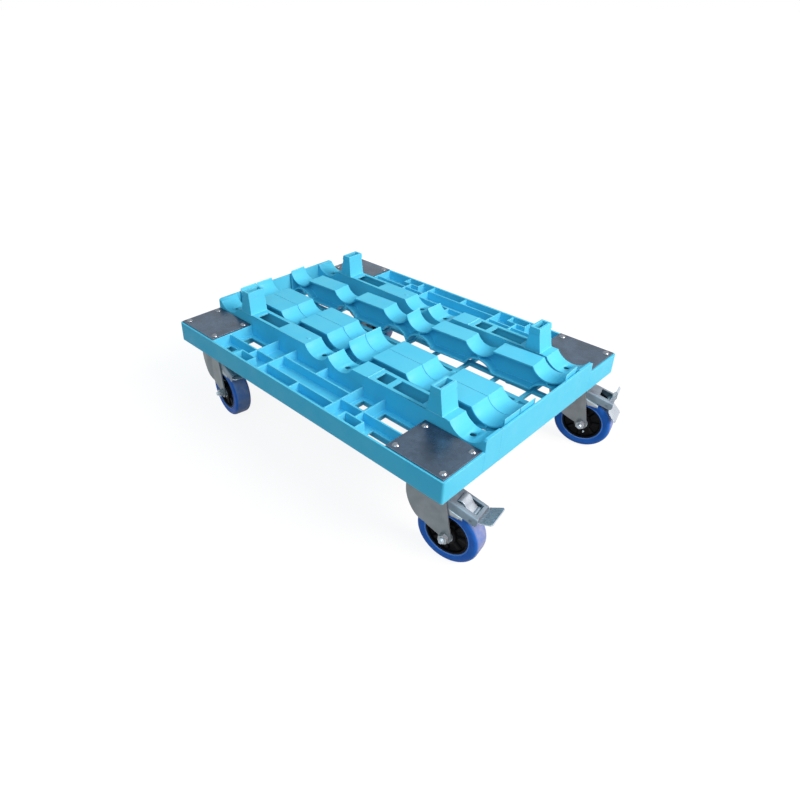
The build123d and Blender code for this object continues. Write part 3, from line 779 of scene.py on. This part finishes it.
# Profiles of the round pieces in millimetres: radius, place along the axis, and a lift where ribs stand
tyre_profile = both_sides([
    (43.0, 17.6), (43.3, 18.9), (44.0, 19.5), (45.0, 19.6), (45.8, 19.2), (46.3, 18.7), (47.2, 18.7),
    (48.0, 19.1), (51.0, 19.5), (54.5, 19.9), (56.6, 19.6), (58.6, 18.7), (60.4, 17.2), (61.7, 15.4),
    (62.3, 13.6), (62.5, 11.5), (62.5, 5.0),
])
hub_profile = both_sides([
    (14.0, 20.4), (14.5, 21.0), (17.8, 21.0), (18.7, 20.5), (19.0, 19.4), (19.4, 13.8), (20.0, 12.2, 1.5),
    (21.5, 11.2, 3.6), (24.0, 11.0, 4.2), (34.0, 11.0, 4.2), (36.8, 11.2, 3.8), (38.3, 12.0, 2.2),
    (38.9, 13.4), (39.2, 17.3), (39.6, 18.2), (40.4, 18.5), (42.5, 18.5), (43.0, 18.0),
])
nipple_profile = [
    (0.2, -10.0), (2.3, -10.0), (2.3, -13.0), (1.4, -13.4), (1.2, -14.6), (1.8, -15.3), (1.8, -15.9),
    (1.1, -16.6), (0.2, -16.8),
]
bowl_profile = [
    (24.0, 159.6), (36.2, 159.6), (38.0, 160.6), (38.8, 162.4), (38.8, 165.6), (38.2, 166.2), (37.4, 165.8),
    (37.2, 163.2), (36.4, 160.9), (35.4, 160.15), (24.0, 160.15),
]
ring_profile = [
    (30.0, 175.2), (39.5, 175.2), (40.3, 174.4), (40.3, 169.8), (39.5, 168.9), (36.0, 168.5), (30.0, 168.5),
]
thread = []
for step in range(10):
    thread.append((thread_radius - thread_depth * (step % 2), thread_start - thread_step * step))
stud_profile = [
    (6.0, fork_outside), (6.0, -26.4), (thread_radius, -26.4), (thread_radius, -34.0), *thread, (4.0, -41.4),
]
seat_profile = [(5.2, -26.6), (8.1, -26.6), (8.1, -27.4), (5.2, -27.4)]

# Meshes of the casters' pieces
tyre_mesh = skinned("tyre", (turned_rings(tyre_profile, steps=128), hoop), sharp_angle=40)
hub_mesh = skinned("hub", (turned_rings(hub_profile, steps=160, ribs=8), hoop), sharp_angle=40)
nut_rings = bored(hexagon_rings(axle_flats, start=-27.3, end=-35.5), hole=5.1)
nut_mesh = skinned("axle_nut", (nut_rings, hoop), (lathed(seat_profile), hoop), sharp_angle=25)
head_rings = hexagon_rings(axle_flats, start=fork_outside, end=34.0)
stud_rings = lathed(stud_profile, steps=64)
stud_mesh = skinned("axle_stud", (stud_rings, capped), (head_rings, capped), sharp_angle=25)
nipple_mesh = skinned("grease_nipple", (lathed(nipple_profile, steps=24), hoop), sharp_angle=40)
bowl_mesh = skinned("swivel_bowl", (lathed(bowl_profile), hoop), sharp_angle=40)
ring_mesh = skinned("swivel_ring", (lathed(ring_profile), hoop), sharp_angle=40)
fork_sheet = fork_mesh()
cover_sheet = cover_mesh()
pedal_steel = pedal_mesh()
shoe_leaf = shoe_mesh()
saddle_sheet = saddle_mesh()
upright = Matrix.Rotation(math.radians(90), 4, "X")

for corner in corners:
    wheel, fork = f"wheel_{corner}", f"fork_{corner}"
    wheel_place, fork_place = wheel_frame(corner), fork_frame(corner)
    level = wheel_place.to_3x3().to_4x4()
    pressed = corner == pressed_corner

    # Wheel and axle
    add_piece(
        f"tyre_{corner}", tyre_mesh, tyre_finish, wheel_place, wheel, "tyre_blue", f"wheel_tyre_{corner}"
    )
    add_piece(f"hub_{corner}", hub_mesh, hub_finish, wheel_place, wheel, "hub_black", f"wheel_hub_{corner}")
    nipple_x, nipple_z = polar(nipple_reach * millimetre, nipple_turn[corner])
    nipple_place = wheel_place @ Matrix.Translation((nipple_x, 0, nipple_z))
    add_piece(f"grease_nipple_{corner}", nipple_mesh, bright_finish, nipple_place, wheel, "bright_zinc")
    add_piece(
        f"nut_{corner}", nut_mesh, plated_finish, wheel_place, fork, "bright_zinc", f"axle_nut_{corner}"
    )
    add_piece(
        f"axle_stud_{corner}", stud_mesh, bright_finish, wheel_place, fork, "bright_zinc",
        f"axle_bolt_{corner}",
    )

    # Swivel and fork
    add_piece(f"swivel_bowl_{corner}", bowl_mesh, fork_finish, fork_place @ upright, fork, "zinc")
    add_piece(f"swivel_ring_{corner}", ring_mesh, fork_finish, fork_place @ upright, "deck", "zinc")
    bent = add_piece(
        f"fork_sheet_{corner}", fork_sheet, fork_finish, fork_place, fork, "zinc", f"fork_{corner}"
    )
    thicken(bent, fork_steel)
    round_edges(bent, rounding["fork"])

    # Brake; each pedal has a mesh of its own, already turned and in its place
    cover = add_piece(
        f"brake_cover_{corner}", cover_sheet, housing_finish, fork_place, fork, "zinc",
        f"brake_housing_{corner}",
    )
    thicken(cover, housing_steel)
    round_edges(cover, rounding["cover"])
    pedal_turn = pedal_travel * pressed - pedal_rise
    pedal_place = Matrix.Translation(joints[f"brake_{corner}"]["pos_m"]) @ level
    pedal_place = pedal_place @ Matrix.Rotation(math.radians(pedal_turn), 4, "Y")
    pedal_here = pedal_steel.copy()
    pedal_here.transform(pedal_place)
    pedal = add_piece(
        f"pedal_plate_{corner}", pedal_here, bright_finish, Matrix(), f"pedal_{corner}", "bright_zinc",
        f"brake_pedal_{corner}",
    )
    round_edges(pedal, rounding["pedal"])
    shoe_place = Matrix.Translation(joints[f"shoe_{corner}_tip"]["pos_m"]) @ level
    shoe_place = shoe_place @ Matrix.Rotation(math.radians(shoe_travel * pressed), 4, "Y")
    shoe = add_piece(
        f"shoe_leaf_{corner}", shoe_leaf, painted_shade_leaf_finish, shoe_place, f"shoe_{corner}", "bright_zinc",
        f"brake_shoe_{corner}",
    )
    round_edges(shoe, rounding["shoe"])
    saddle = add_piece(
        f"shoe_saddle_{corner}", saddle_sheet, plated_finish, shoe_place, f"shoe_{corner}", "bright_zinc"
    )
    thicken(saddle, saddle_steel)
    round_edges(saddle, rounding["saddle"])

# Eased edges of the deck, the strips and the corner plates
chooser = edge_chooser()
for name in deck_nodes:
    ease_edges(name, rounding["deck"], chooser)
for name in strip_nodes:
    ease_edges(name, rounding["strip"], chooser)
for corner in corners:
    ease_edges(f"corner_plate_{corner}", rounding["plate"], chooser)

# Studio
make_camera()
make_lamp("key_lamp", place=(3.3, 0.7, 2.7), size=2.2, power=190, colour=(1.32, 0.98, 0.89))
make_lamp("fill_lamp", place=(1.4, -2.5, 2.5), size=2.0, power=29, colour=(0.64, 1.0, 1.14))
make_floor()
make_world()
bpy.context.scene.view_settings.view_transform = "Standard"
